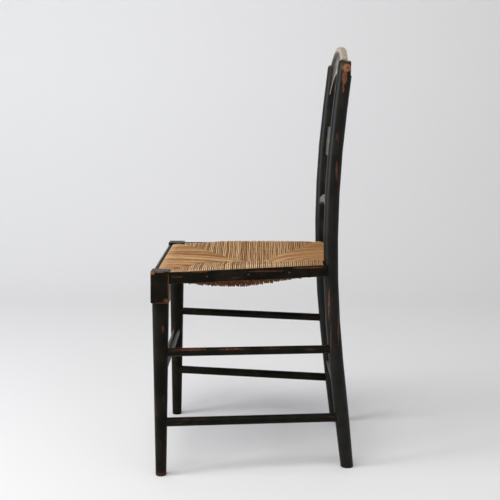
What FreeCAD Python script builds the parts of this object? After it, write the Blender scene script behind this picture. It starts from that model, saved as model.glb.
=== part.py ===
"""Painted side chair: bent back posts, turned legs, a rush seat and nailed edge strips.

The origin is on the floor at the middle of the chair. +Z is up, the front is at -Y and the sitter's left is +X.
Lengths are in millimetres.
"""
import FreeCAD, Part

import math
import os

import Sketcher
from FreeCAD import Placement, Rotation, Vector

SIZES = {
    # Whole chair
    "chair_depth": 417.7,
    "front_leg_spacing": 408.0,
    "post_spacing": 306.0,
    "seat_height": 430.0,
    "seat_rise": 7.6,
    # Front legs
    "block_side": 37.0,
    "block_height": 65.0,
    "block_bevel": 1.2,
    "leg_top_radius": 17.2,
    "leg_foot_radius": 11.2,
    "leg_rake": 4.2,
    "leg_splay": 1.6,
    "foot_bevel": 1.5,
    # Back posts: straight below, bent to one long arc, and straight again above. The leans are in degrees
    "post_radius": 15.0,
    "post_foot_radius": 13.4,
    "post_ankle": 95.0,
    "post_height": 846.0,
    "post_bend_height": 228.0,
    "post_bend_radius": 2315.0,
    "post_lower_lean": 6.4,
    "post_upper_lean": 6.6,
    "post_crown": 6.5,
    "post_crown_inset": 3.8,
    "post_crown_shoulder": 1.6,
    "post_crown_shoulder_inset": 1.4,
    "post_wear": 5.8,
    # Round joints and fits
    "tenon_past_axis": 3.0,
    "tenon_root": 6.0,
    "mortise_end_gap": 1.0,
    "tenon_fit": 0.1,
    "shoulder_gap": 0.25,
    "overrun": 10.0,
    # Stretchers
    "lower_stretcher_radius": 9.3,
    "upper_stretcher_radius": 8.6,
    "cross_stretcher_radius": 8.9,
    "lower_stretcher_front": 113.0,
    "lower_stretcher_drop": 5.0,
    "upper_stretcher_front": 260.0,
    "upper_stretcher_drop": 5.0,
    "front_stretcher_height": 212.0,
    "back_stretcher_height": 150.0,
    # Seat rails, the wrap of rush round them and the strips outside it
    "rail_width": 19.0,
    "rail_height": 20.0,
    "rail_bevel": 3.5,
    "rail_tenon_radius": 4.6,
    "rail_tenon_rise": 5.2,
    "wrap_thickness": 4.2,
    "strip_thickness": 5.0,
    "strip_height": 23.5,
    "strip_drop": 3.0,
    "strip_round": 1.6,
    "strip_inset": 2.0,
    # Cut nails
    "nail_head_width": 4.4,
    "nail_head_height": 3.4,
    "nail_head_thickness": 0.8,
    "nail_width": 2.0,
    "nail_thickness": 1.4,
    "nail_length": 19.0,
    "nail_fit": 0.05,
    # Rush
    "rush_gap": 0.3,
    "rush_edge_round": 11.0,
    "rush_edge_drop": 5.0,
    "rush_dish": 17.0,
    "rush_pillow": 4.5,
    "rush_pinch": 1.2,
    "rush_pouch": 22.0,
    "rush_pouch_middle": 5.0,
    "rush_pouch_width": 70.0,
    "rush_back_round": 3.0,
    # Crest rail
    "crest_thickness": 8.6,
    "crest_top": 843.0,
    "crest_arch": 36.5,
    "crest_depth": 76.0,
    "crest_waist": 56.0,
    "crest_roll_height": 15.0,
    "crest_roll_thickness": 5.2,
    "crest_roll_bevel": 4.6,
    "crest_top_bevel": 2.0,
    "crest_low_bevel": 1.0,
    "crest_tenon_height": 42.0,
    "crest_tenon_drop": 34.0,
    # Round plugs over the crest rail's ends
    "plug_radius": 7.6,
    "plug_height": 831.5,
    "plug_setback": 3.2,
    "plug_depth": 12.0,
    # Middle slat
    "slat_thickness": 8.0,
    "slat_height": 64.0,
    "slat_centre": 677.0,
    "slat_tenon": 10.0,
    "slat_bevel": 1.0,
    # Lower back rail
    "low_rail_thickness": 14.0,
    "low_rail_height": 18.0,
    "low_rail_centre": 530.0,
    "low_rail_arch": 23.0,
    "low_rail_bevel": 3.4,
    "low_rail_tenon_radius": 5.5,
}

# Into how many straight lengths the posts' bend is divided
BEND_STEPS = 6
# Nails along a strip, as shares of its length from end to end
SIDE_NAIL_SHARES = (0.27, 0.51, 0.75)
FRONT_NAIL_SHARES = (0.14, 0.38, 0.62, 0.86)
# Stations of the rush from the front edge to the back edge, as shares of the seat's depth, with how full the
# dish in its top, the pouch below it and the pinch at its ends are at each
RUSH_STATION_SHARES = (
    (0.0, 0.0, 0.0, 1.0),
    (0.08, 0.12, 0.15, 0.9),
    (0.22, 0.45, 0.65, 0.5),
    (0.38, 0.88, 0.95, 0.1),
    (0.57, 1.0, 0.88, 0.0),
    (0.77, 0.62, 0.42, 0.2),
    (0.93, 0.15, 0.05, 0.7),
)
# Where the rush is fullest between the middle of its top and its edge
PILLOW_SHARE = 0.8
# Volumes are compared to within this share of the volume
VOLUME_SLACK_SHARE = 0.00001

SIDES = {"left": 1, "right": -1}

doc = FreeCAD.newDocument("side_chair")
sheet = doc.addObject("Spreadsheet::Sheet", "Dims")
size = {}


def put(alias, value):
    """Writes a number into the sheet under its alias."""
    row = len(size) + 1
    sheet.set("A%d" % row, alias)
    sheet.set("B%d" % row, "%.12f" % value)
    sheet.setAlias("B%d" % row, alias)
    size[alias] = value
    return value


def number(name):
    """The value of an alias, of a negative alias such as -rail_width, or of a plain zero."""
    if name == 0:
        return 0.0
    if name.startswith("-"):
        return -size[name[1:]]
    return size[name]


def formula(name):
    """The expression that binds a property to an alias."""
    if name.startswith("-"):
        return "-Dims." + name[1:]
    return "Dims." + name


for alias, value in SIZES.items():
    put(alias, value)
doc.recompute()

# Places worked out from the driving sizes

leg_x = size["front_leg_spacing"] / 2
leg_y = (size["block_side"] / 2 - size["chair_depth"] / 2
         + size["leg_rake"] * size["block_height"] / size["seat_height"])
post_x = size["post_spacing"] / 2
post_foot_y = size["chair_depth"] / 2 - size["post_foot_radius"]
lower_lean = math.radians(size["post_lower_lean"])
upper_lean = math.radians(size["post_upper_lean"])
bend_centre_y = (post_foot_y - math.tan(lower_lean) * size["post_bend_height"]
                 + math.cos(lower_lean) * size["post_bend_radius"])
bend_centre_z = size["post_bend_height"] + math.sin(lower_lean) * size["post_bend_radius"]
bend_end_height = bend_centre_z + math.sin(upper_lean) * size["post_bend_radius"]


def lean(height):
    """How many degrees a post leans back at a height. Below the bend it leans forward as it rises."""
    if height <= size["post_bend_height"]:
        return -size["post_lower_lean"]
    if height >= bend_end_height:
        return size["post_upper_lean"]
    return math.degrees(math.asin((height - bend_centre_z) / size["post_bend_radius"]))


def post_y(height):
    """The depth of a post's centre line at a height."""
    if height <= size["post_bend_height"]:
        return post_foot_y - math.tan(lower_lean) * height
    angle = math.radians(lean(height))
    y = bend_centre_y - math.cos(angle) * size["post_bend_radius"]
    return y + math.tan(upper_lean) * max(0, height - bend_end_height)


post_seat_y = post_y(size["seat_height"])


def leg_point(side, height):
    """A point of a front leg's axis, which leans forward and outward to the foot."""
    down = 1 - height / size["seat_height"]
    return Vector(side * (leg_x + down * size["leg_splay"]), leg_y - down * size["leg_rake"], height)


def post_point(side, height):
    """A point of a back post's centre line."""
    return Vector(side * post_x, post_y(height), height)


def post_direction(height):
    """The way a post runs at a height, as a unit vector."""
    angle = math.radians(lean(height))
    return Vector(0, math.sin(angle), math.cos(angle))


def aim(origin, direction):
    """A placement at origin whose Z axis points along direction."""
    return Placement(origin, Rotation(Vector(0, 0, 1), direction))


def bar_frame(start, end):
    """A placement at start whose X axis points at end and whose Z axis is as upright as it can be."""
    along = (end - start).normalize()
    across = Vector(0, 0, 1).cross(along).normalize()
    upright = along.cross(across)
    return Placement(start, Rotation(along, across, upright, "XYZ"))


# Document helpers


def add_body(label, placement=None):
    body = doc.addObject("PartDesign::Body", label)
    body.Label = label
    if placement is not None:
        body.Placement = placement
    return body


def add_sketch(body, name, role, offset=None):
    """A sketch on one of the body's own origin planes, moved along the plane's normal by an alias."""
    sketch = body.newObject("Sketcher::SketchObject", name)
    plane = [item for item in body.Origin.OriginFeatures if item.Role == role][0]
    sketch.AttachmentSupport = [(plane, "")]
    sketch.MapMode = "FlatFace"
    if offset is not None:
        sketch.setExpression("AttachmentOffset.Base.z", formula(offset))
    return sketch


def hold_point(sketch, geometry, position, x_name, y_name):
    """Ties a point's coordinates to the sheet, or to an axis where the coordinate is zero."""
    for kind, axis, name in (("DistanceX", -2, x_name), ("DistanceY", -1, y_name)):
        if name == 0:
            sketch.addConstraint(Sketcher.Constraint("PointOnObject", geometry, position, axis))
        else:
            index = sketch.addConstraint(
                Sketcher.Constraint(kind, -1, 1, geometry, position, number(name)))
            sketch.setExpression("Constraints[%d]" % index, formula(name))


def draw_outline(sketch, corners):
    """Draws a closed outline.

    Each corner is (x, y), reached by a line, or (x, y, via_x, via_y), reached by an arc through the via point.
    """
    points = [Vector(number(corner[0]), number(corner[1]), 0) for corner in corners]
    ends = []
    for index, corner in enumerate(corners):
        start = points[index - 1]
        finish = points[index]
        if len(corner) == 2:
            edge = sketch.addGeometry(Part.LineSegment(start, finish))
            ends.append((edge, 1, 2))
            continue
        via = Vector(number(corner[2]), number(corner[3]), 0)
        edge = sketch.addGeometry(Part.Arc(start, via, finish))
        first_is_start = (sketch.getPoint(edge, 1) - start).Length < (sketch.getPoint(edge, 2) - start).Length
        ends.append((edge, 1, 2) if first_is_start else (edge, 2, 1))
    for index, (edge, start_end, finish_end) in enumerate(ends):
        previous, _, previous_finish = ends[index - 1]
        sketch.addConstraint(Sketcher.Constraint("Coincident", previous, previous_finish, edge, start_end))
        hold_point(sketch, edge, finish_end, corners[index][0], corners[index][1])
    for (edge, _, _), corner in zip(ends, corners):
        if len(corner) == 2:
            continue
        via = sketch.addGeometry(Part.Point(Vector(number(corner[2]), number(corner[3]), 0)), True)
        sketch.addConstraint(Sketcher.Constraint("PointOnObject", via, 1, edge))
        hold_point(sketch, via, 1, corner[2], corner[3])


def draw_circle(sketch, radius):
    """A circle round the sketch's origin."""
    circle = sketch.addGeometry(Part.Circle(Vector(), Vector(0, 0, 1), number(radius)))
    hold_point(sketch, circle, 3, 0, 0)
    index = sketch.addConstraint(Sketcher.Constraint("Radius", circle, number(radius)))
    sketch.setExpression("Constraints[%d]" % index, formula(radius))


def pad(body, sketch, length, symmetric=False):
    feature = body.newObject("PartDesign::Pad", "pad")
    feature.Profile = sketch
    feature.setExpression("Length", formula(length))
    if symmetric:
        feature.SideType = "Symmetric"
    return feature


def revolve(body, sketch, axis):
    feature = body.newObject("PartDesign::Revolution", "turning")
    feature.Profile = sketch
    feature.ReferenceAxis = (sketch, [axis])
    return feature


def loft(body, sketches):
    feature = body.newObject("PartDesign::AdditiveLoft", "loft")
    feature.Profile = sketches[0]
    feature.Sections = sketches[1:]
    feature.Ruled = True
    return feature


def draw_chain(sketch, names):
    """Draws an open chain of lines through points given by their aliases."""
    points = [Vector(number(x_name), number(y_name), 0) for x_name, y_name in names]
    for index in range(1, len(points)):
        edge = sketch.addGeometry(Part.LineSegment(points[index - 1], points[index]))
        if index > 1:
            sketch.addConstraint(Sketcher.Constraint("Coincident", edge - 1, 2, edge, 1))
        else:
            hold_point(sketch, edge, 1, names[0][0], names[0][1])
        hold_point(sketch, edge, 2, names[index][0], names[index][1])


def add_primitive(body, kind, name, world, **names):
    """A primitive feature of the body at a place given in the chair's own frame."""
    feature = body.newObject("PartDesign::" + kind, name)
    for property_name, alias in names.items():
        feature.setExpression(property_name, formula(alias))
    feature.Placement = body.Placement.inverse().multiply(world)
    return feature


def ease(body, amount, wanted):
    """A chamfer on those edges of the body's last feature for which wanted(edge) is true."""
    doc.recompute()
    base = body.Tip
    names = []
    for index, edge in enumerate(base.Shape.Edges):
        if wanted(edge):
            names.append("Edge%d" % (index + 1))
    feature = body.newObject("PartDesign::Chamfer", "eased_edges")
    feature.Base = (base, names)
    feature.setExpression("Size", formula(amount))
    return feature


def centred(frame, length, width, height, x_start=None):
    """The corner placement of a box that is centred on a frame across Y and Z, and along X unless it is given."""
    shift_x = -length / 2 if x_start is None else x_start
    return frame.multiply(Placement(Vector(shift_x, -width / 2, -height / 2), Rotation()))


# Round tenons and their mortises

put("round_tenon_length", size["post_radius"] + size["tenon_root"] + size["tenon_past_axis"])
put("block_tenon_length", size["block_side"] / 2 + size["tenon_root"] + size["tenon_past_axis"])
put("round_mortise_length", size["block_side"] + size["tenon_past_axis"] + size["mortise_end_gap"])
put("rail_mortise_radius", size["rail_tenon_radius"] + size["tenon_fit"])
put("low_rail_mortise_radius", size["low_rail_tenon_radius"] + size["tenon_fit"])
for level in ("lower", "upper", "cross"):
    put(level + "_stretcher_mortise_radius", size[level + "_stretcher_radius"] + size["tenon_fit"])


def add_mortise(member, axis_point, inward, radius):
    """Bores a round mortise that ends a little past the tenon, which itself ends just past the member's axis."""
    past = inward * (size["tenon_past_axis"] + size["mortise_end_gap"])
    mouth = axis_point + past - inward * size["round_mortise_length"]
    add_primitive(member, "SubtractiveCylinder", "mortise", aim(mouth, inward),
                  Radius=radius, Height="round_mortise_length")


def join_round(bar, member, axis_point, inward, radius, mortise_radius, length="round_tenon_length"):
    """Gives the bar a round tenon, and the member its mortise."""
    root = axis_point + inward * size["tenon_past_axis"] - inward * size[length]
    add_primitive(bar, "AdditiveCylinder", "tenon", aim(root, inward), Radius=radius, Height=length)
    add_mortise(member, axis_point, inward, mortise_radius)


# Front legs: a turned, tapering leg with a square block at seat height

put("leg_axis_length", (leg_point(1, size["seat_height"]) - leg_point(1, 0)).Length)
put("block_bottom", size["leg_axis_length"] - size["block_height"])
put("half_block", size["block_side"] / 2)
put("leg_tip_radius", size["leg_foot_radius"] - size["foot_bevel"])
put("floor_cut_side", 4 * size["post_radius"])


def leg_frame(side):
    foot = leg_point(side, 0)
    return aim(foot, leg_point(side, size["seat_height"]) - foot)


def cut_at_floor(body, foot):
    half = size["floor_cut_side"] / 2
    corner = Vector(foot.x - half, foot.y - half, -size["floor_cut_side"])
    add_primitive(body, "SubtractiveBox", "floor_cut", Placement(corner, Rotation()),
                  Length="floor_cut_side", Width="floor_cut_side", Height="floor_cut_side")


def make_front_leg(name, side):
    body = add_body(name, leg_frame(side))
    outline = add_sketch(body, "turned_outline", "XZ_Plane")
    draw_outline(outline, (
        (0, "-foot_bevel"),
        ("leg_tip_radius", "-foot_bevel"),
        ("leg_tip_radius", 0),
        ("leg_foot_radius", "foot_bevel"),
        ("leg_top_radius", "block_bottom"),
        (0, "block_bottom"),
    ))
    revolve(body, outline, "V_Axis")
    square = add_sketch(body, "block_outline", "XY_Plane", "block_bottom")
    draw_outline(square, (
        ("-half_block", "-half_block"),
        ("half_block", "-half_block"),
        ("half_block", "half_block"),
        ("-half_block", "half_block"),
    ))
    pad(body, square, "block_height")
    bottom = size["block_bottom"]
    reach = size["half_block"] - size["tenon_fit"]

    def on_block(edge):
        centre = edge.CenterOfMass
        return max(abs(centre.x), abs(centre.y)) > reach and centre.z > bottom - size["tenon_fit"]

    ease(body, "block_bevel", on_block)
    cut_at_floor(body, leg_point(side, 0))
    return body


legs = {}
for name, side in SIDES.items():
    legs[name] = make_front_leg(name + "_front_leg", side)

# Back posts: one stick each, drawn along its bent centre line

stick_points = [("ankle", size["post_ankle"])]
for index in range(BEND_STEPS + 1):
    angle = -lower_lean + (lower_lean + upper_lean) * index / BEND_STEPS
    stick_points.append(("bend_%d" % index, bend_centre_z + math.sin(angle) * size["post_bend_radius"]))
stick_points.append(("shoulder", size["post_height"] - math.cos(upper_lean) * size["post_crown"]))
for point_name, height in stick_points:
    put("post_%s_y" % point_name, post_y(height) - post_seat_y)
    put("post_%s_z" % point_name, height)
floor_taper = (size["post_radius"] - size["post_foot_radius"]) / size["post_ankle"]
put("ankle_length", (size["post_ankle"] + size["overrun"]) / math.cos(lower_lean))
put("taper_low", size["post_foot_radius"] - floor_taper * size["overrun"])
put("crown_radius", size["post_radius"] - size["post_crown_inset"])
put("crown_shoulder_radius", size["post_radius"] - size["post_crown_shoulder_inset"])
put("crown_rise", size["post_crown"] - size["post_crown_shoulder"])
put("wear_cut_side", 4 * size["post_radius"])
worn_y = post_y(size["post_height"]) + size["post_radius"] - size["post_wear"]


def make_back_post(name, side):
    body = add_body(name, Placement(Vector(side * post_x, post_seat_y, 0), Rotation()))
    spine = add_sketch(body, "centre_line", "YZ_Plane")
    draw_chain(spine, [("post_%s_y" % point_name, "post_%s_z" % point_name) for point_name, _ in stick_points])
    section = add_sketch(body, "stick_section", "XY_Plane")
    section.AttachmentOffset = Placement(Vector(), Rotation(Vector(1, 0, 0), size["post_lower_lean"]))
    section.setExpression("AttachmentOffset.Base.y", formula("post_ankle_y"))
    section.setExpression("AttachmentOffset.Base.z", formula("post_ankle_z"))
    draw_circle(section, "post_radius")
    doc.recompute()
    stick = body.newObject("PartDesign::AdditivePipe", "stick")
    stick.Profile = section
    stick.Spine = (spine, ["Edge%d" % index for index in range(1, len(stick_points))])
    stick.Transition = "Right corner"
    add_primitive(body, "AdditiveCone", "foot", aim(post_point(side, -size["overrun"]), post_direction(0)),
                  Radius1="taper_low", Radius2="post_radius", Height="ankle_length")
    upward = post_direction(size["post_height"])
    shoulder = post_point(side, size["post_height"]) - upward * size["post_crown"]
    add_primitive(body, "AdditiveCone", "crown", aim(shoulder, upward),
                  Radius1="post_radius", Radius2="crown_shoulder_radius", Height="crown_rise")
    add_primitive(body, "AdditiveCone", "crown", aim(shoulder + upward * size["crown_rise"], upward),
                  Radius1="crown_shoulder_radius", Radius2="crown_radius", Height="post_crown_shoulder")
    # The back of the top is worn flat where the chair has leaned on a wall
    half = size["wear_cut_side"] / 2
    worn = Placement(Vector(side * post_x - half, worn_y, size["post_height"] - half), Rotation())
    add_primitive(body, "SubtractiveBox", "worn_flat", worn,
                  Length="wear_cut_side", Width="wear_cut_side", Height="wear_cut_side")
    cut_at_floor(body, post_point(side, 0))
    ease(body, "foot_bevel", lambda edge: abs(edge.CenterOfMass.z) < size["tenon_fit"])
    return body


posts = {}
for name, side in SIDES.items():
    posts[name] = make_back_post(name + "_back_post", side)

# Tools that shape the end of a bar to the leg, block or post that it meets

put("cope_height", 3 * size["post_radius"])
put("post_cope_radius", size["post_radius"] + size["shoulder_gap"])
put("block_cope_side", size["block_side"] + 2 * size["shoulder_gap"])
put("block_cope_height", size["block_height"] + 2 * size["overrun"])


def cope_to_post(bar, side, height, tool_height="cope_height", radius="post_cope_radius"):
    direction = post_direction(height)
    start = post_point(side, height) - direction * (size[tool_height] / 2)
    add_primitive(bar, "SubtractiveCylinder", "cope", aim(start, direction), Radius=radius, Height=tool_height)


def cope_to_block(bar, side, clearance="block_cope_side"):
    frame = leg_frame(side).multiply(Placement(Vector(0, 0, size["block_bottom"] - size["overrun"]), Rotation()))
    half = size[clearance] / 2
    corner = frame.multiply(Placement(Vector(-half, -half, 0), Rotation()))
    add_primitive(bar, "SubtractiveBox", "cope", corner,
                  Length=clearance, Width=clearance, Height="block_cope_height")


# Stretchers


def make_round_bar(name, start, end, level):
    """A plain round bar that ends a little past the axes of its two members. Its ends are its own tenons."""
    along = (end - start).normalize()
    put(name + "_length", (end - start).Length + 2 * size["tenon_past_axis"])
    body = add_body(name, Placement(start - along * size["tenon_past_axis"], Rotation(Vector(1, 0, 0), along)))
    section = add_sketch(body, "bar_section", "YZ_Plane")
    draw_circle(section, level + "_stretcher_radius")
    pad(body, section, name + "_length")
    return body


for side_name, side in SIDES.items():
    for level in ("lower", "upper"):
        front_height = size[level + "_stretcher_front"]
        back_height = front_height - size[level + "_stretcher_drop"]
        start = leg_point(side, front_height)
        end = post_point(side, back_height)
        along = (end - start).normalize()
        make_round_bar("%s_%s_stretcher" % (side_name, level), start, end, level)
        add_mortise(legs[side_name], start, along * -1, level + "_stretcher_mortise_radius")
        add_mortise(posts[side_name], end, along, level + "_stretcher_mortise_radius")

for name, members, point, height in (
        ("front_stretcher", legs, leg_point, size["front_stretcher_height"]),
        ("back_stretcher", posts, post_point, size["back_stretcher_height"])):
    make_round_bar(name, point(-1, height), point(1, height), "cross")
    for side_name, side in SIDES.items():
        add_mortise(members[side_name], point(side, height), Vector(side, 0, 0), "cross_stretcher_mortise_radius")

# Plan of the seat: the rails, the wrap of rush and the strips lie side by side in lines parallel to each other

front_run = post_seat_y - leg_y
side_shift = (leg_x + size["half_block"]) - (post_x + size["post_radius"])
side_turn = math.atan2(side_shift, front_run)
wrap_reach = size["rail_width"] / 2 + size["wrap_thickness"]
strip_reach = wrap_reach + size["strip_thickness"]
rail_front_x = leg_x + size["half_block"] - size["strip_inset"] - strip_reach / math.cos(side_turn)
rail_back_x = rail_front_x - side_shift
front_rail_y = leg_y - size["half_block"] + size["strip_inset"] + strip_reach
rail_front_z = size["seat_height"] - size["strip_drop"] - size["strip_height"] / 2
rail_back_z = rail_front_z + size["seat_rise"]


def rail_height(y):
    """The height of the side rails' centre line at a depth."""
    return rail_front_z + size["seat_rise"] * (y - leg_y) / front_run


def rail_x(y):
    """How far out the side rails' centre line is at a depth."""
    return rail_front_x - side_shift * (y - leg_y) / front_run


def side_points(side, outward):
    """The ends of a line that lies outward from a side rail's centre line, in the chair's frame."""
    shift = outward / math.cos(side_turn)
    front = Vector(side * (rail_front_x + shift), leg_y, rail_front_z)
    back = Vector(side * (rail_back_x + shift), post_seat_y, rail_back_z)
    return front, back


put("half_rail_width", size["rail_width"] / 2)
put("half_rail_height", size["rail_height"] / 2)
put("rail_flat_y", size["half_rail_width"] - size["rail_bevel"])
put("rail_flat_z", size["half_rail_height"] - size["rail_bevel"])


def make_rail(name, start, end):
    """A seat rail with planed corners, whose ends are shaped to what it meets by the caller."""
    put(name + "_length", (end - start).Length)
    body = add_body(name, bar_frame(start, end))
    outline = add_sketch(body, "rail_outline", "YZ_Plane")
    draw_outline(outline, (
        ("-rail_flat_y", "-half_rail_height"),
        ("rail_flat_y", "-half_rail_height"),
        ("half_rail_width", "-rail_flat_z"),
        ("half_rail_width", "rail_flat_z"),
        ("rail_flat_y", "half_rail_height"),
        ("-rail_flat_y", "half_rail_height"),
        ("-half_rail_width", "rail_flat_z"),
        ("-half_rail_width", "-rail_flat_z"),
    ))
    pad(body, outline, name + "_length")
    return body


rails = {}
for side_name, side in SIDES.items():
    start, end = side_points(side, 0)
    rail = make_rail(side_name + "_seat_rail", start, end)
    rails[side_name] = rail
    cope_to_block(rail, side)
    cope_to_post(rail, side, rail_back_z)
    along = (end - start).normalize()
    up = Vector(0, 0, size["rail_tenon_rise"])
    join_round(rail, legs[side_name], start + up, along * -1, "rail_tenon_radius", "rail_mortise_radius",
               "block_tenon_length")
    join_round(rail, posts[side_name], end + up, along, "rail_tenon_radius", "rail_mortise_radius")

rails["front"] = make_rail("front_seat_rail", Vector(-leg_x, front_rail_y, rail_front_z),
                           Vector(leg_x, front_rail_y, rail_front_z))
rails["back"] = make_rail("back_seat_rail", Vector(-post_x, post_seat_y, rail_back_z),
                          Vector(post_x, post_seat_y, rail_back_z))
for side_name, side in SIDES.items():
    down = Vector(0, 0, -size["rail_tenon_rise"])
    cope_to_block(rails["front"], side)
    join_round(rails["front"], legs[side_name], Vector(side * leg_x, front_rail_y, rail_front_z) + down,
               Vector(side, 0, 0), "rail_tenon_radius", "rail_mortise_radius", "block_tenon_length")
    cope_to_post(rails["back"], side, rail_back_z)
    join_round(rails["back"], posts[side_name], Vector(side * post_x, post_seat_y, rail_back_z) + down,
               Vector(side, 0, 0), "rail_tenon_radius", "rail_mortise_radius")

# Edge strips and their nails

put("half_strip_thickness", size["strip_thickness"] / 2)
put("half_strip_height", size["strip_height"] / 2)
strip_line = wrap_reach + size["strip_thickness"] / 2
front_strip_y = front_rail_y - strip_line


def make_strip(name, start, end):
    put(name + "_length", (end - start).Length)
    body = add_body(name, bar_frame(start, end))
    outline = add_sketch(body, "strip_outline", "YZ_Plane")
    draw_outline(outline, (
        ("-half_strip_thickness", "-half_strip_height"),
        ("half_strip_thickness", "-half_strip_height"),
        ("half_strip_thickness", "half_strip_height"),
        ("-half_strip_thickness", "half_strip_height"),
    ))
    pad(body, outline, name + "_length")
    top = size["half_strip_height"] - size["tenon_fit"]
    ease(body, "strip_round",
         lambda edge: edge.BoundBox.XLength > size["block_side"] and edge.CenterOfMass.z > top)
    return body


strips = {}
for side_name, side in SIDES.items():
    start, end = side_points(side, strip_line)
    strip = make_strip(side_name + "_edge_strip", start, end)
    strips[side_name] = (strip, start, end, Vector(side * math.cos(side_turn), math.sin(side_turn), 0))
    cope_to_block(strip, side)
    cope_to_post(strip, side, rail_back_z)
start = Vector(-leg_x, front_strip_y, rail_front_z)
end = Vector(leg_x, front_strip_y, rail_front_z)
strip = make_strip("front_edge_strip", start, end)
strips["front"] = (strip, start, end, Vector(0, -1, 0))
for side in SIDES.values():
    cope_to_block(strip, side)

# The rush: one closed body that wraps the rails, with a sagging middle, a full pouch below and coped corners

rush_front_y = front_rail_y - wrap_reach + size["rush_gap"]
rush_back_y = post_seat_y + wrap_reach
rush_depth = rush_back_y - rush_front_y
rush_body = add_body("rush_seat")


def rush_section(index, y, dish_share, pouch_share, pinch):
    """A section across the seat. pinch is how far its top and bottom draw in towards the ends."""
    tag = "rush_%d_" % index
    half = rail_x(y) + (wrap_reach - size["rush_gap"]) / math.cos(side_turn)
    middle = rail_height(y)
    top = middle + size["half_rail_height"] + size["wrap_thickness"] - pinch
    low = middle - size["half_rail_height"] - size["wrap_thickness"] + pinch
    dish = dish_share * size["rush_dish"]
    pouch = pouch_share * size["rush_pouch"]
    belly = pouch_share * size["rush_pouch_middle"]
    corner = half - size["rush_edge_round"]
    low_corner = half - size["rush_pouch_width"]
    put(tag + "level", -y)
    put(tag + "edge", half)
    put(tag + "edge_top", top - size["rush_edge_drop"])
    put(tag + "edge_low", low + size["rush_edge_drop"])
    put(tag + "corner", corner)
    put(tag + "corner_top", top)
    put(tag + "pillow", corner * PILLOW_SHARE)
    put(tag + "pillow_top", top + dish_share * size["rush_pillow"])
    put(tag + "dish", top - dish)
    put(tag + "low_corner", low_corner)
    put(tag + "low_corner_low", low - pouch)
    put(tag + "belly", low - pouch - belly)
    right_half = (
        ("low_corner", "low_corner_low"),
        ("edge", "edge_low"),
        ("edge", "edge_top"),
        ("corner", "corner_top"),
        ("pillow", "pillow_top"),
    )
    corners = [(0, tag + "belly")]
    corners += [(tag + x_name, tag + z_name) for x_name, z_name in right_half]
    corners += [(0, tag + "dish")]
    corners += [("-" + tag + x_name, tag + z_name) for x_name, z_name in reversed(right_half)]
    sketch = add_sketch(rush_body, tag + "section", "XZ_Plane", tag + "level")
    draw_outline(sketch, corners)
    return sketch


sections = []
for index, (depth_share, dish, pouch, pinch) in enumerate(RUSH_STATION_SHARES):
    station_y = rush_front_y + depth_share * rush_depth
    sections.append(rush_section(index, station_y, dish, pouch, pinch * size["rush_pinch"]))
sections.append(rush_section(len(RUSH_STATION_SHARES), rush_back_y, 0, 0, size["rush_back_round"]))
loft(rush_body, sections)

put("rush_block_side", size["block_side"] + 2 * size["rush_gap"])
put("rush_post_radius", size["post_radius"] + size["rush_gap"])
put("rush_cut_height", 2 * (size["rail_height"] + size["rush_pouch"] + size["block_side"]))
put("rush_rail_width", size["rail_width"] + 2 * size["rush_gap"])
put("rush_rail_height", size["rail_height"] + 2 * size["rush_gap"])
for side in SIDES.values():
    cope_to_block(rush_body, side, "rush_block_side")
    cope_to_post(rush_body, side, rail_back_z, "rush_cut_height", "rush_post_radius")
for rail_name, rail in rails.items():
    corner = rail.Placement.multiply(
        Placement(Vector(0, -size["rush_rail_width"] / 2, -size["rush_rail_height"] / 2), Rotation()))
    add_primitive(rush_body, "SubtractiveBox", "rail_way", corner,
                  Length=rail_name + "_seat_rail_length", Width="rush_rail_width", Height="rush_rail_height")

# Cut nails through the strip and the rush into the rail

put("nail_hole_width", size["nail_width"] + 2 * size["nail_fit"])
put("nail_hole_thickness", size["nail_thickness"] + 2 * size["nail_fit"])
put("nail_hole_length", size["nail_length"] + size["mortise_end_gap"])


def nail_part(label, face, direction, length, width, height):
    box = doc.addObject("Part::Box", label)
    for property_name, alias in (("Length", length), ("Width", width), ("Height", height)):
        box.setExpression(property_name, formula(alias))
    box.Placement = centred(bar_frame(face, face + direction), 0, size[width], size[height], 0)
    return box


nails = []
for strip_name, (strip, start, end, outward) in strips.items():
    shares = FRONT_NAIL_SHARES if strip_name == "front" else SIDE_NAIL_SHARES
    for share in shares:
        face = start + (end - start) * share + outward * (size["strip_thickness"] / 2)
        inward = outward * -1
        hole = centred(bar_frame(face, face + inward), 0, size["nail_hole_width"], size["nail_hole_thickness"], 0)
        for body in (strip, rush_body, rails[strip_name]):
            add_primitive(body, "SubtractiveBox", "nail_hole", hole,
                          Length="nail_hole_length", Width="nail_hole_width", Height="nail_hole_thickness")
        nail = doc.addObject("Part::Fuse", "nail")
        nail.Base = nail_part("nail_head", face, outward, "nail_head_thickness", "nail_head_width", "nail_head_height")
        nail.Tool = nail_part("nail_shank", face, inward, "nail_length", "nail_width", "nail_thickness")
        nails.append(nail)
nail_group = doc.addObject("Part::Compound", "edge_strip_nails")
nail_group.Label = "edge_strip_nails"
nail_group.Links = nails

# Crest rail: an arched board whose ends have tenons in the posts


def leaning_frame(height, setback, degrees):
    """A placement between the posts at a height, leaning back, whose Y axis is square to the board."""
    turn = Rotation(Vector(1, 0, 0), -degrees)
    return Placement(Vector(0, post_y(height), height) + turn.multVec(Vector(0, setback, 0)), turn)


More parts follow.
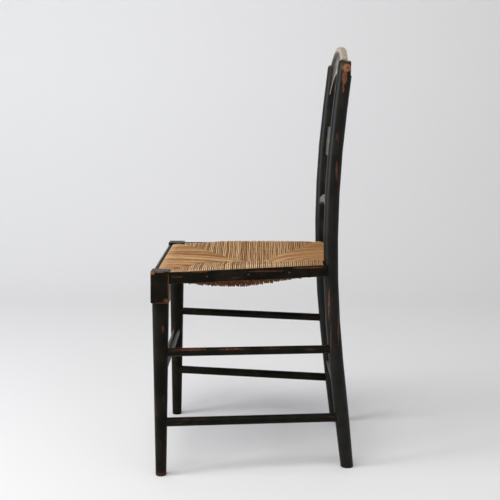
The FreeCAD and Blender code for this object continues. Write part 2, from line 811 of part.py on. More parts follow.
put("half_post_spacing", post_x)
put("crest_end_low", size["crest_depth"])
put("crest_low_apex", size["crest_waist"] - size["crest_arch"])
put("board_tenon_length", size["slat_tenon"] + size["tenon_root"])
put("crest_slot_width", size["crest_thickness"] + 2 * size["tenon_fit"])
put("crest_slot_height", size["crest_tenon_height"] + 2 * size["tenon_fit"])
put("slot_depth", size["post_radius"] + size["tenon_root"])
put("crest_cope_height", 2 * size["crest_depth"])
crest = add_body("crest_rail", leaning_frame(size["crest_top"], 0, size["post_upper_lean"]))
outline = add_sketch(crest, "crest_outline", "XZ_Plane")
draw_outline(outline, (
    ("half_post_spacing", "-crest_end_low", 0, "-crest_low_apex"),
    ("half_post_spacing", 0),
    ("-half_post_spacing", 0, 0, "crest_arch"),
    ("-half_post_spacing", "-crest_end_low"),
))
pad(crest, outline, "crest_thickness", symmetric=True)
# The front of its top edge rolls forward, so that the board is thickest there
put("roll_low_apex", size["crest_arch"] - size["crest_roll_height"])
put("roll_reach", size["crest_thickness"] / 2 + size["crest_roll_thickness"])
roll = add_sketch(crest, "roll_outline", "XZ_Plane")
draw_outline(roll, (
    ("half_post_spacing", "-crest_roll_height", 0, "roll_low_apex"),
    ("half_post_spacing", 0),
    ("-half_post_spacing", 0, 0, "crest_arch"),
    ("-half_post_spacing", "-crest_roll_height"),
))
pad(crest, roll, "roll_reach")


def arched_edge(highest):
    """A test for edges that run the length of a board and whose highest point is at a given height."""
    def test(edge):
        box = edge.BoundBox
        return box.XLength > size["half_post_spacing"] and abs(box.ZMax - highest) < size["wrap_thickness"]
    return test


ease(crest, "crest_top_bevel", arched_edge(size["crest_arch"]))
ease(crest, "crest_roll_bevel",
     lambda edge: arched_edge(size["roll_low_apex"])(edge) and edge.CenterOfMass.y < -size["crest_thickness"])
ease(crest, "crest_low_bevel", arched_edge(-size["crest_low_apex"]))


def join_board(board, side, height, drop, tenon_height, thickness, slot_height, slot_width):
    """Gives the board a flat tenon at one end, and the post a slot for it."""
    tenon_end = post_x - size["post_radius"] + size["slat_tenon"]
    frame = board.Placement.multiply(Placement(Vector(0, 0, -size[drop] if drop else 0), Rotation()))
    tenon_start = tenon_end - size["board_tenon_length"] if side > 0 else -tenon_end
    tenon = centred(frame, 0, size[thickness], size[tenon_height], tenon_start)
    add_primitive(board, "AdditiveBox", "tenon", tenon,
                  Length="board_tenon_length", Width=thickness, Height=tenon_height)
    slot_end = tenon_end + size["mortise_end_gap"]
    slot_start = slot_end - size["slot_depth"] if side > 0 else -slot_end
    slot = centred(frame, 0, size[slot_width], size[slot_height], slot_start)
    add_primitive(posts["left" if side > 0 else "right"], "SubtractiveBox", "slot", slot,
                  Length="slot_depth", Width=slot_width, Height=slot_height)


for side in SIDES.values():
    cope_to_post(crest, side, size["crest_top"] - size["crest_depth"] / 2, "crest_cope_height")
    join_board(crest, side, size["crest_top"], "crest_tenon_drop", "crest_tenon_height", "crest_thickness",
               "crest_slot_height", "crest_slot_width")

# Round plugs let into the posts' outer sides, level with the crest rail's ends and shaped to the posts

put("plug_hole_radius", size["plug_radius"] + size["tenon_fit"])
put("plug_hole_length", size["plug_depth"] + size["overrun"])
put("plug_trim_height", 4 * size["plug_radius"])
plugs = []
for side_name, side in SIDES.items():
    direction = post_direction(size["plug_height"])
    centre = post_point(side, size["plug_height"])
    outward = Vector(side, 0, 0)
    inner = centre + Vector(0, size["plug_setback"], 0) + outward * (size["post_radius"] - size["plug_depth"])
    add_primitive(posts[side_name], "SubtractiveCylinder", "plug_hole", aim(inner, outward),
                  Radius="plug_hole_radius", Height="plug_hole_length")
    blank = doc.addObject("Part::Cylinder", "plug_blank")
    blank.setExpression("Radius", formula("plug_radius"))
    blank.setExpression("Height", formula("plug_hole_length"))
    blank.Placement = aim(inner, outward)
    trim = doc.addObject("Part::Cylinder", "plug_trim")
    trim.setExpression("Radius", formula("post_radius"))
    trim.setExpression("Height", formula("plug_trim_height"))
    trim.Placement = aim(centre - direction * (size["plug_trim_height"] / 2), direction)
    plug = doc.addObject("Part::Common", "plug")
    plug.Base = blank
    plug.Tool = trim
    plugs.append(plug)
plug_group = doc.addObject("Part::Compound", "crest_plugs")
plug_group.Label = "crest_plugs"
plug_group.Links = plugs

# Middle slat: a flat board let into slots in the posts

put("half_slat_height", size["slat_height"] / 2)
put("slat_slot_width", size["slat_thickness"] + 2 * size["tenon_fit"])
put("slat_slot_height", size["slat_height"] + 2 * size["tenon_fit"])
put("half_slat_length", post_x - size["post_radius"] + size["slat_tenon"])
slat = add_body("middle_slat", leaning_frame(size["slat_centre"], size["slat_thickness"] / 2, lean(size["slat_centre"])))
outline = add_sketch(slat, "slat_outline", "XZ_Plane")
draw_outline(outline, (
    ("half_slat_length", "-half_slat_height"),
    ("half_slat_length", "half_slat_height"),
    ("-half_slat_length", "half_slat_height"),
    ("-half_slat_length", "-half_slat_height"),
))
pad(slat, outline, "slat_thickness", symmetric=True)
ease(slat, "slat_bevel", lambda edge: edge.BoundBox.XLength > size["half_post_spacing"])
for side_name, side in SIDES.items():
    slot_end = size["half_slat_length"] + size["mortise_end_gap"]
    slot_start = slot_end - size["slot_depth"] if side > 0 else -slot_end
    slot = centred(slat.Placement, 0, size["slat_slot_width"], size["slat_slot_height"], slot_start)
    add_primitive(posts[side_name], "SubtractiveBox", "slot", slot,
                  Length="slot_depth", Width="slat_slot_width", Height="slat_slot_height")

# Lower back rail: a slim arch with round tenons

put("low_rail_half", size["low_rail_height"] / 2)
put("low_rail_apex", size["low_rail_half"] + size["low_rail_arch"])
put("low_rail_arch_low", size["low_rail_arch"] - size["low_rail_half"])
low_rail = add_body("lower_back_rail", leaning_frame(size["low_rail_centre"], 0, lean(size["low_rail_centre"])))
outline = add_sketch(low_rail, "low_rail_outline", "XZ_Plane")
draw_outline(outline, (
    ("half_post_spacing", "-low_rail_half", 0, "low_rail_arch_low"),
    ("half_post_spacing", "low_rail_half"),
    ("-half_post_spacing", "low_rail_half", 0, "low_rail_apex"),
    ("-half_post_spacing", "-low_rail_half"),
))
pad(low_rail, outline, "low_rail_thickness", symmetric=True)
ease(low_rail, "low_rail_bevel", lambda edge: edge.BoundBox.XLength > size["half_post_spacing"])
for side_name, side in SIDES.items():
    cope_to_post(low_rail, side, size["low_rail_centre"])
    join_round(low_rail, posts[side_name], post_point(side, size["low_rail_centre"]), Vector(side, 0, 0),
               "low_rail_tenon_radius", "low_rail_mortise_radius")

doc.recompute()

# Checks, then one file for each piece

pieces = [item for item in doc.Objects if item.TypeId == "PartDesign::Body"] + [nail_group, plug_group]
for item in doc.Objects:
    if "Invalid" in item.State or "Error" in item.State:
        raise RuntimeError("%s (%s) is in state %s" % (item.Label, item.Name, item.State))
for piece in pieces:
    if piece.Shape.isNull() or not piece.Shape.isValid():
        raise RuntimeError("the shape of %s isn't valid" % piece.Label)
for item in doc.Objects:
    base = getattr(item, "BaseFeature", None)
    if not item.TypeId.startswith("PartDesign::") or item.TypeId == "PartDesign::Body" or base is None:
        continue
    change = item.Shape.Volume - base.Shape.Volume
    adds = "Additive" in item.TypeId or item.TypeId in ("PartDesign::Pad", "PartDesign::Revolution")
    gain = change if adds else -change
    slack = VOLUME_SLACK_SHARE * base.Shape.Volume
    same_faces = len(item.Shape.Faces) == len(base.Shape.Faces)
    if gain < -slack or (same_faces and gain < slack):
        owner = item.getParentGeoFeatureGroup().Label
        raise RuntimeError("%s of %s changes the volume by %.3f" % (item.Name, owner, change))

os.makedirs("parts", exist_ok=True)
for piece in pieces:
    piece.Shape.exportStep("parts/%s.step" % piece.Label)
    print("%-24s solids %2d  volume %10.1f  box %s" % (
        piece.Label, len(piece.Shape.Solids), piece.Shape.Volume, piece.Shape.BoundBox))
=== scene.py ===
import math
import random

import bpy
from mathutils import Matrix, Vector


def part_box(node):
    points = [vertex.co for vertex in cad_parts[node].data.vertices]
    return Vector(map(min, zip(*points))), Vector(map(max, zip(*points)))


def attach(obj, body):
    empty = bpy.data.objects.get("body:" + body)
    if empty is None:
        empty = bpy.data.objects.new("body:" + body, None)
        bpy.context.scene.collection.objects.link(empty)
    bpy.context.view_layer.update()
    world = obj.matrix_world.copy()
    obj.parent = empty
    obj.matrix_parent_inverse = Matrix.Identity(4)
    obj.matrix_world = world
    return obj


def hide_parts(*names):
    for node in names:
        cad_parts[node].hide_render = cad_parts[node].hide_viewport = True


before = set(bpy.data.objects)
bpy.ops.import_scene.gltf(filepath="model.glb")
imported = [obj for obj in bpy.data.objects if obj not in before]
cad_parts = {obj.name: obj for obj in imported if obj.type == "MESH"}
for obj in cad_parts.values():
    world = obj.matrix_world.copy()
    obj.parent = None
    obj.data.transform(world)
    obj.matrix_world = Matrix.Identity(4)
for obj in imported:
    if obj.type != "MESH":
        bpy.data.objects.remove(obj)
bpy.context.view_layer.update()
random.seed(1838)
MM = 0.001
# The way the grain runs: across the chair, from front to back, or up
ACROSS, DEEP, UP = 0, 1, 2
# Half the crest rail's length, in millimetres
CREST_HALF = 140.0

# Sizes of the rush seat, in millimetres

FRONT_Y, BACK_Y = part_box("rush_seat")[0].y / MM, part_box("rush_seat")[1].y / MM
DEPTH = BACK_Y - FRONT_Y
HALF_FRONT, HALF_BACK = 216.7, 159.1
FRONT_TOP, BACK_TOP = 429.2, 437.2
# Height of the seat where it wraps a rail
WRAP = 28.4
# Half the distance from cord to cord, and how far in from the outer face a cord begins to turn down
CORD = 2.1
EDGE = 8.0
# The dip in the middle, the swell beside the side rails, the pinch at the front and back rails, the pouch
# below and its belly
DISH, PILLOW, PINCH, POUCH, BELLY = 17.0, 6.0, 1.2, 22.0, 5.0
DISH_POWER = 1.25
# Where the swell is highest and how wide it is, as shares of half the seat's width
PILLOW_PLACE, PILLOW_WIDTH = 0.86, 0.17
# How far in from the sides the pouch has its full depth
POUCH_RUN = 62.0
# The weave's mitres, from the bridge in the middle to a front corner and to a back corner, as (x, y)
FRONT_MITRE = ((0.0, -20.0), (19.0, -47.0), (48.0, -80.0), (97.0, -115.0), (184.0, -171.0))
BACK_MITRE = ((0.0, 16.0), (32.0, 50.0), (60.0, 75.0), (88.0, 102.0), (137.0, 140.0))
# Shares of the seat's depth, each with the shares of dish, pouch, pinch and pillow there
DISH_AT, POUCH_AT, PINCH_AT, PILLOW_AT = 1, 2, 3, 4
STATION_SHARES = (
    (0.0, 0.0, 0.0, 1.0, 0.0), (0.08, 0.12, 0.24, 1.0, -0.3), (0.18, 0.38, 0.55, 0.6, -0.35),
    (0.25, 0.52, 0.72, 0.4, 0.25), (0.32, 0.75, 0.85, 0.2, 0.85), (0.40, 0.90, 0.95, 0.0, 1.0),
    (0.50, 1.0, 1.0, 0.0, 1.0), (0.62, 1.0, 0.80, 0.0, 1.0), (0.77, 0.62, 0.52, 0.2, 0.95),
    (0.87, 0.35, 0.36, 0.4, 0.9), (0.93, 0.15, 0.20, 0.6, 0.6), (1.0, 0.0, 0.0, 1.0, 0.0))
# The distance between the points of a cord
POINT_STEP = 9.0
# Where the ends of a cord tuck in, as (past the mitre, down or up), and how low its first open point lies
TOP_TUCK, BOTTOM_TUCK = ((1.6, 7.0), (1.3, 3.0)), (1.5, 6.0)
FIRST_DROP = 0.7
# How far a cord sways to either side, and how fast
SWAY, SWAY_RATE = 0.35, 0.055
# How far chance moves a cord aside, up or down, and each point below up or down
WOBBLE, LIFT, LUMPS = 0.25, 0.35, 0.4
# How far the cords of the front and of the back stand up between rail and mitre
FRONT_SWELL, BACK_SWELL = 1.5, 3.0
# How far cords hang below, as a mean and a spread, and how much further the slack ones do
DROOP, SLACK, SLACK_SHARE = (0.4, 0.7), (0.8, 1.8), 0.16
# The thinnest and the thickest cord, as shares of CORD, and the darkest and the lightest
THICKNESS, TONES = (0.80, 0.96), (0.2, 1.1)
CORD_SIDES = 8
# The packing: its steps each way, how far it stays inside the seat's outline, and under its surface
PACKING_STEPS = 25
PACKING_MARGIN = 2 * CORD + 0.6
PACKING_COVER = 1.35 * 2 * CORD
# How far past the front corners and the back ones the packing stays drawn in, and how far inside them
PACKING_FRONT, PACKING_BACK, PACKING_INSIDE = 4, 6, 1

# Colours

BLACK, SOOT = (0.0030, 0.0028, 0.0018), (0.0105, 0.0086, 0.0056)
UNDERCOAT, BROWN = (0.150, 0.036, 0.014), (0.215, 0.092, 0.034)
HEARTWOOD_DARK, HEARTWOOD = (0.20, 0.085, 0.030), (0.36, 0.175, 0.070)
BARE_DARK, BARE = (0.27, 0.215, 0.160), (0.46, 0.385, 0.30)
GILT_DARK, GILT = (0.20, 0.125, 0.040), (0.47, 0.335, 0.140)
WOOD_DARK, WOOD = (0.26, 0.115, 0.045), (0.55, 0.31, 0.15)
PLUG_DARK, PLUG = (0.15, 0.046, 0.012), (0.37, 0.155, 0.045)
IRON, RUST = (0.022, 0.019, 0.018), (0.11, 0.045, 0.02)
RUSH_DARK, RUSH = (0.28, 0.127, 0.045), (0.70, 0.445, 0.222)
RUSH_STAIN = (0.34, 0.165, 0.060)
RUSH_RIM_RUB_AND_HIGHLIGHT = (0.78, 0.58, 0.36)
RUSH_BACK = (0.31, 0.155, 0.058)
# Painted shade in the grooves of a cord's twist
RUSH_GROOVE_SHADE = (0.14, 0.060, 0.021)
# Painted shade in the gaps between cords
RUSH_GAP_SHADE = (0.085, 0.030, 0.010)
UNDER_DARK, UNDER = (0.018, 0.0032, 0.0008), (0.29, 0.080, 0.009)
# The packing's colours, dark as painted shade
PACKING_DARK, PACKING = (0.030, 0.010, 0.003), (0.17, 0.065, 0.016)
STAGE = (0.87, 0.862, 0.860)
ROOM, BACKGROUND = (0.90, 0.91, 0.93, 1.0), (0.76, 0.76, 0.77, 1.0)
# The tint of the paint's gloss, from the room and from the window
ROOM_TINT, WINDOW_TINT = (1.0, 0.93, 0.82, 1.0), (0.93, 0.96, 1.0, 1.0)

# Sizes in the materials

# How rounded painted edges are, in metres, and how ragged a mark of wear is, as a share of its radii
EDGE_RADIUS, MARK_RAG = 0.0017, 1.6
# Where along X the wear of the crest has its far width and its near one, in metres
FAR_WEAR_X, NEAR_WEAR_X = -0.085, 0.015
# How soft the outline of a stencilled dot is, in millimetres
DOT_SOFTNESS = 0.4
# Growth rings, in radians per metre
RING_RATE = 5200.0


# Node helpers


class Graph:
    """A short way to write a material's nodes."""

    def __init__(self, name):
        self.material = bpy.data.materials.new(name)
        self.material.use_nodes = True
        self.tree = self.material.node_tree
        self.tree.nodes.clear()
        self.output = self.tree.nodes.new("ShaderNodeOutputMaterial")
        self.place = self.new("ShaderNodeTexCoord").outputs["Object"]

    def new(self, kind, **settings):
        node = self.tree.nodes.new(kind)
        for key, value in settings.items():
            setattr(node, key, value)
        return node

    def feed(self, socket, value):
        """Links a socket to another one, or sets it. A colour of three numbers gets its fourth."""
        if hasattr(value, "is_output"):
            self.tree.links.new(value, socket)
        elif isinstance(value, (tuple, list)) and len(value) == 3 and len(socket.default_value) == 4:
            socket.default_value = (*value, 1.0)
        else:
            socket.default_value = value

    def math(self, operation, first, second=None):
        node = self.new("ShaderNodeMath", operation=operation)
        self.feed(node.inputs[0], first)
        if second is not None:
            self.feed(node.inputs[1], second)
        return node.outputs[0]

    def chain(self, operation, values):
        total = values[0]
        for value in values[1:]:
            total = self.math(operation, total, value)
        return total

    def plus(self, *values):
        return self.chain("ADD", values)

    def times(self, *values):
        return self.chain("MULTIPLY", values)

    def most(self, *values):
        return self.chain("MAXIMUM", values)

    def less(self, first, second):
        return self.math("SUBTRACT", first, second)

    def over(self, first, second):
        return self.math("DIVIDE", first, second)

    def size(self, value):
        return self.math("ABSOLUTE", value)

    def swing(self, noise, width):
        """A noise, which lies about 0.5, as a number of that width about 0."""
        return self.times(self.less(noise, 0.5), width)

    def vector(self, operation, first, second=None):
        node = self.new("ShaderNodeVectorMath", operation=operation)
        self.feed(node.inputs[0], first)
        if second is not None:
            self.feed(node.inputs[1], second)
        return node.outputs["Value"] if operation in ("DOT_PRODUCT", "LENGTH") else node.outputs[0]

    def split(self, vector):
        node = self.new("ShaderNodeSeparateXYZ")
        self.feed(node.inputs[0], vector)
        return tuple(node.outputs)

    def scaled(self, place, scale):
        node = self.new("ShaderNodeMapping")
        self.feed(node.inputs["Vector"], place)
        node.inputs["Scale"].default_value = scale
        return node.outputs[0]

    def noise(self, place, scale=1.0, detail=4.0, rough=0.6):
        node = self.new("ShaderNodeTexNoise")
        self.feed(node.inputs["Vector"], place)
        node.inputs["Scale"].default_value = scale
        node.inputs["Detail"].default_value = detail
        node.inputs["Roughness"].default_value = rough
        return node.outputs["Fac"]

    def ramp(self, value, low, high, start=0.0, finish=1.0):
        """A smooth step from start, at low, to finish, at high."""
        node = self.new("ShaderNodeMapRange", interpolation_type="SMOOTHSTEP")
        self.feed(node.inputs["Value"], value)
        for name, number in (("From Min", low), ("From Max", high), ("To Min", start), ("To Max", finish)):
            node.inputs[name].default_value = number
        return node.outputs[0]

    def mix(self, share, first, second):
        """A mix of two colours. A Mix node takes colours at 6 and 7 and gives one at 2."""
        node = self.new("ShaderNodeMix", data_type="RGBA")
        self.feed(node.inputs[0], share)
        self.feed(node.inputs[6], first)
        self.feed(node.inputs[7], second)
        return node.outputs[2]

    def bump(self, height, distance, strength, normal=None):
        node = self.new("ShaderNodeBump")
        node.inputs["Distance"].default_value = distance
        node.inputs["Strength"].default_value = strength
        self.feed(node.inputs["Height"], height)
        if normal is not None:
            self.feed(node.inputs["Normal"], normal)
        return node.outputs[0]

    def spot(self, centre, radii, ragged):
        """1 inside an ellipsoid with a ragged edge, 0 outside. Lengths are in millimetres."""
        away = self.vector("SUBTRACT", self.place, tuple(c * MM for c in centre))
        away = self.vector("MULTIPLY", away, tuple(1 / (r * MM) for r in radii))
        far = self.plus(self.vector("LENGTH", away), self.swing(ragged, MARK_RAG))
        return self.ramp(far, 1.15, 0.7)

    def surface(self, colour, roughness, normal=None, **fixed):
        shader = self.new("ShaderNodeBsdfPrincipled")
        self.feed(shader.inputs["Base Color"], colour)
        self.feed(shader.inputs["Roughness"], roughness)
        if normal is not None:
            self.feed(shader.inputs["Normal"], normal)
        for name, value in fixed.items():
            shader.inputs[name.replace("_", " ")].default_value = value
        self.tree.links.new(shader.outputs[0], self.output.inputs["Surface"])
        return self.material


def along(axis, fine, coarse):
    """A texture scale that is coarse along the grain and fine across it."""
    return tuple(coarse if index == axis else fine for index in range(3))


# Materials


def worn_paint(name, axis, seed, edges=1.0, marks=(), bare_marks=(), arches=(), stencil=None,
               gloss=0.08, tint=ROOM_TINT):
    """Old black paint with a soft gloss, which wears through to a red-brown undercoat and to bare wood.

    edges says how far the edges are rubbed. Each mark is (centre, radii, strength), in millimetres. Each
    arch holds what worn_and_highlit_arch takes, and stencil holds what stencil_mask takes.
    """
    g = Graph(name)
    shift = g.vector("ADD", g.place, (seed, seed * 1.7, seed * 0.6))
    grain = g.noise(g.scaled(shift, along(axis, 420.0, 14.0)), detail=5.0)
    streak = g.noise(g.scaled(shift, along(axis, 190.0, 6.0)), rough=0.62)
    patch = g.noise(shift, 24.0)
    speck = g.noise(shift, 280.0, detail=3.0, rough=0.65)
    ragged = g.noise(shift, 330.0, detail=3.0)

    # Where the paint is thin: rubbed edges, scratches along the grain, and chips
    rounded = g.new("ShaderNodeBevel", samples=6)
    rounded.inputs["Radius"].default_value = EDGE_RADIUS
    true_normal = g.new("ShaderNodeNewGeometry").outputs["Normal"]
    bend = g.less(1.0, g.vector("DOT_PRODUCT", rounded.outputs[0], true_normal))
    broken = g.plus(patch, g.swing(speck, 0.55))
    rubbed = g.times(g.ramp(bend, 0.010, 0.14), g.ramp(broken, 0.46, 0.62), edges)
    scratches = g.times(g.ramp(streak, 0.60, 0.72), g.ramp(patch, 0.44, 0.62))
    chips = g.times(g.ramp(speck, 0.70, 0.74), g.ramp(patch, 0.52, 0.62))
    worn = g.most(rubbed, g.times(scratches, 0.38), g.times(chips, 0.5))

    def spots(places):
        return g.most(*[g.times(g.spot(centre, radii, ragged), strength)
                        for centre, radii, strength in places])

    colour = g.mix(g.ramp(patch, 0.35, 0.7), BLACK, SOOT)
    brown = g.mix(g.ramp(speck, 0.4, 0.62), UNDERCOAT, BROWN)
    colour = g.mix(g.times(worn, 0.85), colour, brown)
    if marks:
        red = spots(marks)
        colour = g.mix(red, colour, brown)
        worn = g.most(worn, red)
    if bare_marks:
        bare = spots(bare_marks)
        colour = g.mix(bare, colour, g.mix(g.ramp(grain, 0.35, 0.65), HEARTWOOD_DARK, HEARTWOOD))
        worn = g.most(worn, bare)
    if stencil:
        gilt = g.times(stencil_mask(g, *stencil), g.ramp(broken, 0.36, 0.60, 1.0, 0.15))
        colour = g.mix(g.times(gilt, 0.9), colour, g.mix(g.ramp(speck, 0.35, 0.65), GILT_DARK, GILT))
    for apex, rise, wear, far_wear in arches:
        arch = worn_and_highlit_arch(g, apex, rise, wear, far_wear, ragged, grain)
        # The lower edge: wear and a painted highlight, on front faces only
        if wear < 0:
            arch = g.times(arch, g.times(facing_front(g, -0.35, -0.75), 0.9))
        colour = g.mix(arch, colour, g.mix(g.ramp(grain, 0.35, 0.65), BARE_DARK, BARE))
        worn = g.most(worn, arch)
    rough = g.plus(g.ramp(patch, 0.3, 0.75, 0.33, 0.45), g.times(worn, 0.30))
    height = g.plus(g.times(grain, 0.55), g.times(speck, 0.25))
    height = g.less(height, g.times(worn, 0.5))
    normal = g.bump(height, 0.2 * MM, 0.45, rounded.outputs[0])
    return g.surface(colour, rough, normal, Specular_IOR_Level=gloss, Specular_Tint=tint)


def worn_and_highlit_arch(g, apex, rise, wear, far_wear, ragged, grain):
    """1 along an arched edge of the crest rail, where hands have worn the paint away. Along the lower edge
    the band is wear and a painted highlight.

    The edge is at height apex in the middle and falls by rise to the rail's ends. The wear goes down from
    it, or up where it is below 0, and narrows from wear to far_wear towards the sitter's right.
    """
    x, _, z = g.split(g.place)
    across = g.over(x, CREST_HALF * MM)
    line = g.less(apex * MM, g.times(across, across, rise * MM))
    reach = g.ramp(x, FAR_WEAR_X, NEAR_WEAR_X, far_wear * MM, wear * MM)
    below = g.over(g.less(line, z), reach)
    below = g.plus(below, g.swing(ragged, 1.1), g.swing(grain, 0.8))
    return g.ramp(below, 1.15, 0.75)


def stencil_mask(g, centre_z, bend, leaves, dots):
    """1 on a stencilled spray of leaves and fruit, mirrored about the middle, on front faces only.

    Each leaf is (x, z, half its length, half its width, degrees) and each dot is (x, z, radius), in
    millimetres from the spray's middle. The spray falls by bend times x squared towards its ends.
    """
    x, _, z = g.split(g.place)
    x = g.size(g.over(x, MM))
    z = g.plus(g.less(g.over(z, MM), centre_z), g.times(x, x, bend))
    shapes = []
    for leaf_x, leaf_z, half_length, half_wide, degrees in leaves:
        cosine, sine = math.cos(math.radians(degrees)), math.sin(math.radians(degrees))
        dx, dz = g.less(x, leaf_x), g.less(z, leaf_z)
        down = g.plus(g.times(dx, cosine / half_length), g.times(dz, sine / half_length))
        aside = g.size(g.less(g.times(dz, cosine / half_wide), g.times(dx, sine / half_wide)))
        blade = g.ramp(g.plus(g.times(down, down), aside), 1.08, 0.92)
        vein = g.ramp(aside, 0.05, 0.12)
        shapes.append(g.times(blade, vein))
    for dot_x, dot_z, radius in dots:
        dx, dz = g.less(x, dot_x), g.less(z, dot_z)
        far = g.plus(g.times(dx, dx), g.times(dz, dz))
        shapes.append(g.ramp(far, (radius + DOT_SOFTNESS) ** 2, (radius - DOT_SOFTNESS) ** 2))
    return g.times(g.most(*shapes), facing_front(g, -0.80, -0.93))


def facing_front(g, start, full):
    """1 where a face looks towards the front of the seat, 0 elsewhere."""
    _, y, _ = g.split(g.new("ShaderNodeNewGeometry").outputs["Normal"])
    return g.ramp(y, start, full)


def bare_wood(name, axis, dark=WOOD_DARK, light=WOOD, pith=None):
    """Bare hardwood that hands have darkened. A pith gives it growth rings, for end grain that faces X."""
    g = Graph(name)
    grain = g.noise(g.scaled(g.place, along(axis, 700.0, 30.0)), detail=5.0, rough=0.65)
    patch = g.noise(g.place, 60.0, detail=3.0)
    share = g.plus(g.times(grain, 0.75), g.times(patch, 0.4))
    colour = g.mix(g.ramp(share, 0.38, 0.78), dark, light)
    if pith:
        away = g.vector("SUBTRACT", g.place, tuple(c * MM for c in pith))
        away = g.vector("MULTIPLY", away, (0.0, 1.0, 1.0))
        far = g.plus(g.vector("LENGTH", away), g.swing(patch, 4 * MM))
        rings = g.math("SINE", g.times(far, RING_RATE))
        colour = g.mix(g.ramp(rings, 0.2, 1.0, 0.0, 0.5), colour, dark)
        heart = tuple(c * 0.4 for c in dark)
        colour = g.mix(g.ramp(far, 2.8 * MM, 1.2 * MM, 0.0, 0.8), colour, heart)
    return g.surface(colour, g.ramp(patch, 0.3, 0.7, 0.5, 0.68), g.bump(grain, 0.2 * MM, 0.6))


def iron(name):
    """Dark iron with a little rust."""
    g = Graph(name)
    rust = g.noise(g.place, 900.0, detail=3.0)
    colour = g.mix(g.ramp(rust, 0.45, 0.62), IRON, RUST)
    return g.surface(colour, g.ramp(rust, 0.3, 0.7, 0.42, 0.62), g.bump(rust, 0.2 * MM, 0.5),
                     Metallic=0.2, Specular_IOR_Level=0.25)


def rush_fibre(name):
    """Twisted rush. UV x runs round a cord and UV y along it, in cord widths. Each cord has its tone."""
    g = Graph(name)
    uv = g.new("ShaderNodeUVMap").outputs[0]
    round_cord, along_cord, _ = g.split(uv)
    tone = g.new("ShaderNodeAttribute", attribute_name="tone").outputs["Fac"]
    under = g.new("ShaderNodeAttribute", attribute_name="under").outputs["Fac"]
    wave = g.noise(g.scaled(uv, (5.0, 0.9, 1.0)), detail=2.0, rough=0.5)
    fibre = g.noise(g.scaled(uv, (26.0, 2.2, 1.0)))
    stain = g.noise(g.place, 34.0)
    mottle = g.noise(g.place, 190.0, detail=3.0)

    # The twist: 1 on a strand, 0 in the groove between two
    turns = g.plus(round_cord, g.times(along_cord, 0.42), g.times(wave, 0.35), g.times(tone, 7.0))
    strand = g.math("POWER", g.size(g.math("SINE", g.times(turns, math.pi * 2))), 0.6)

    share = g.plus(g.times(tone, 0.36), g.times(fibre, 0.38), g.times(mottle, 0.26))
    colour = g.mix(g.ramp(share, 0.34, 0.66), RUSH_DARK, RUSH)
    colour = g.mix(g.ramp(stain, 0.50, 0.78, 0.0, 0.55), colour, RUSH_STAIN)

    # Pale where the side and front rims are rubbed, with a painted highlight there too; browner towards
    # the back, and red-brown below
    x, y, _ = g.split(g.place)
    depth = g.over(g.less(y, FRONT_Y * MM), DEPTH * MM)
    half = g.less(HALF_FRONT * MM, g.times(depth, (HALF_FRONT - HALF_BACK) * MM))
    rim = g.over(g.size(x), half)
    rubbed = g.most(g.ramp(rim, 0.88, 0.97), g.ramp(depth, 0.06, 0.02, 0.0, 0.5))
    rubbed = g.times(rubbed, g.ramp(mottle, 0.30, 0.60, 0.25, 0.55))
    colour = g.mix(rubbed, colour, RUSH_RIM_RUB_AND_HIGHLIGHT)
    colour = g.mix(g.ramp(depth, 0.55, 0.90, 0.0, 0.65), colour, RUSH_BACK)
    # Painted shade in the grooves of the twist
    colour = g.mix(g.ramp(strand, 0.0, 0.55, 0.55, 0.0), colour, RUSH_GROOVE_SHADE)
    below = g.mix(g.ramp(mottle, 0.40, 0.62), UNDER_DARK, UNDER)
    colour = g.mix(under, colour, below)

    # Painted shade: dark in the gap between two cords, where their sides turn away from the light
    gap_shade_flank = g.size(g.math("COSINE", g.times(round_cord, math.pi * 2)))
    colour = g.mix(g.ramp(gap_shade_flank, 0.50, 0.92, 0.0, 0.70), colour, RUSH_GAP_SHADE)
    height = g.plus(g.times(strand, 0.7), g.times(fibre, 0.35))
    return g.surface(colour, g.ramp(fibre, 0.3, 0.7, 0.50, 0.72), g.bump(height, 0.6 * MM, 0.7),
                     Specular_IOR_Level=0.06)


def packing(name):
    """Loose rush in the shade of the cords, its dark colour painted shade."""
    g = Graph(name)
    mottle = g.noise(g.place, 240.0)
    colour = g.mix(g.ramp(mottle, 0.35, 0.65), PACKING_DARK, PACKING)
    return g.surface(colour, g.ramp(mottle, 0.3, 0.7, 0.75, 0.9), g.bump(mottle, MM, 0.8),
                     Specular_IOR_Level=0.06)


def put_material(node, material):
    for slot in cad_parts[node].material_slots:
        slot.material = material


# Marks of wear, as (centre, radii, strength), and the stencilled sprays. Lengths are in millimetres

LEFT_POST_MARKS = (
    ((168, 164, 695), (3, 3, 8), 0.2),
    ((168, 165, 628), (3, 2.5, 20), 0.45),
    ((168, 178, 812), (6, 5.5, 14), 0.8),
    ((167, 175.5, 792), (5, 2, 10), 0.7),
    ((164, 152.5, 360), (4, 1.8, 40), 0.7),
    ((164, 157, 290), (4, 1.6, 30), 0.45),
    ((166, 172.5, 335), (4, 1.5, 70), 0.5),
)
LEFT_POST_BARE = (
    ((153, 184, 848), (22, 12, 4), 1.0),
    ((162, 186, 845), (10, 9, 3), 0.9),
    ((168, 181, 832), (6, 11, 8), 0.55),
)
RIGHT_POST_MARKS = (((-140, 170, 620), (4, 4, 12), 0.6), ((-150, 160, 300), (4, 4, 8), 0.5))
RIGHT_POST_BARE = (((-153, 180, 848), (20, 22, 5), 0.9),)
LEFT_LEG_MARKS = (
    ((222, -176, 371), (5, 7, 4), 0.55),
    ((222, -184.5, 312), (5, 3, 9), 0.45),
    ((222.5, -172, 395), (3, 1.6, 30), 0.7),
    ((222, -186, 366), (4, 16, 1.2), 0.55),
    ((216, -190, 5), (20, 30, 4), 0.25),
)
LEFT_LEG_BARE = (((222, -205, 427), (5, 6, 3.5), 0.7), ((222, -190, 429), (5, 10, 1.8), 0.5))
